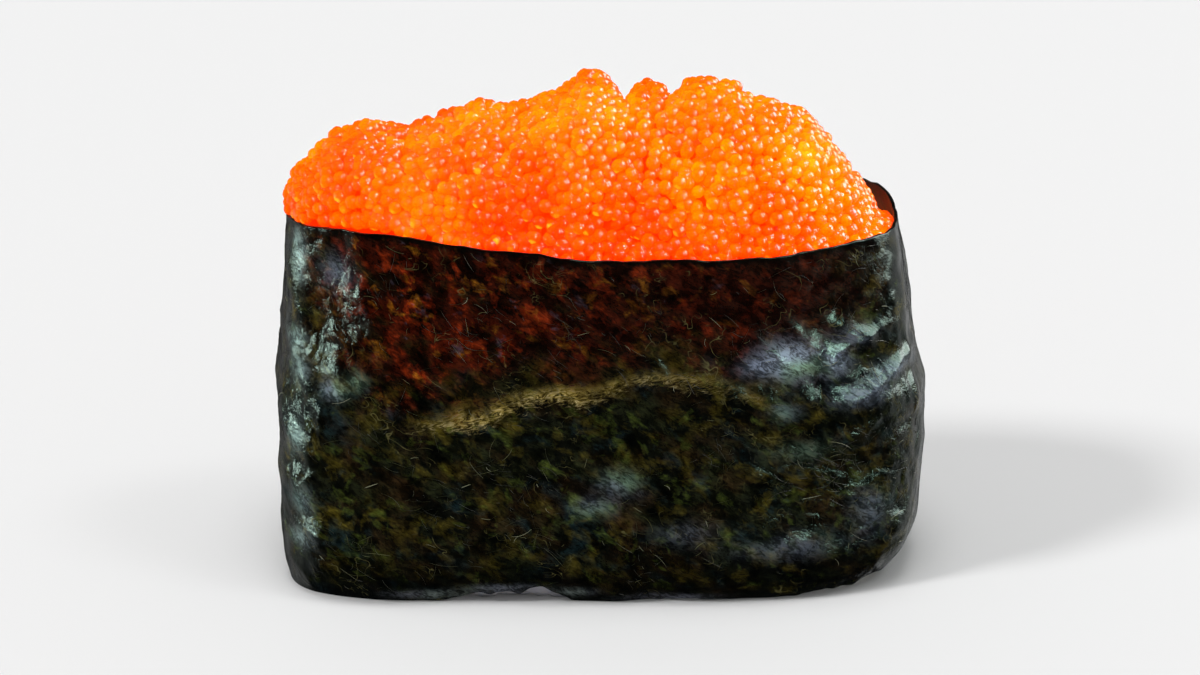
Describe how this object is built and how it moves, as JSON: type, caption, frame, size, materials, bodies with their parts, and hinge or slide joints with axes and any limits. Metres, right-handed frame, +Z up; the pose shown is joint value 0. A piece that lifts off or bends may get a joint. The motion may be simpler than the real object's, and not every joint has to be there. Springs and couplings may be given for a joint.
{
  "type": "tobiko gunkan sushi",
  "caption": "Gunkan sushi: a band of roasted nori stands on edge round a block of pressed rice, with a heap of orange flying fish roe filling it to above the rim.",
  "frame": {"origin": "on the plate, under the middle of the sushi's bounding box", "axes": "+X along the sushi, towards the end where the roe is lower; +Y to its back, where the strip laps; +Z up"},
  "size_m": [0.0582, 0.0296, 0.0455],
  "materials": {
    "roasted_nori": "damp satin",
    "sushi_rice": "moist satin",
    "flying_fish_roe": "wet gloss"
  },
  "bodies": {
    "root": {"nori_wrap": "roasted_nori", "rice_block": "sushi_rice", "tobiko_heap": "flying_fish_roe"}
  },
  "joints": []
}
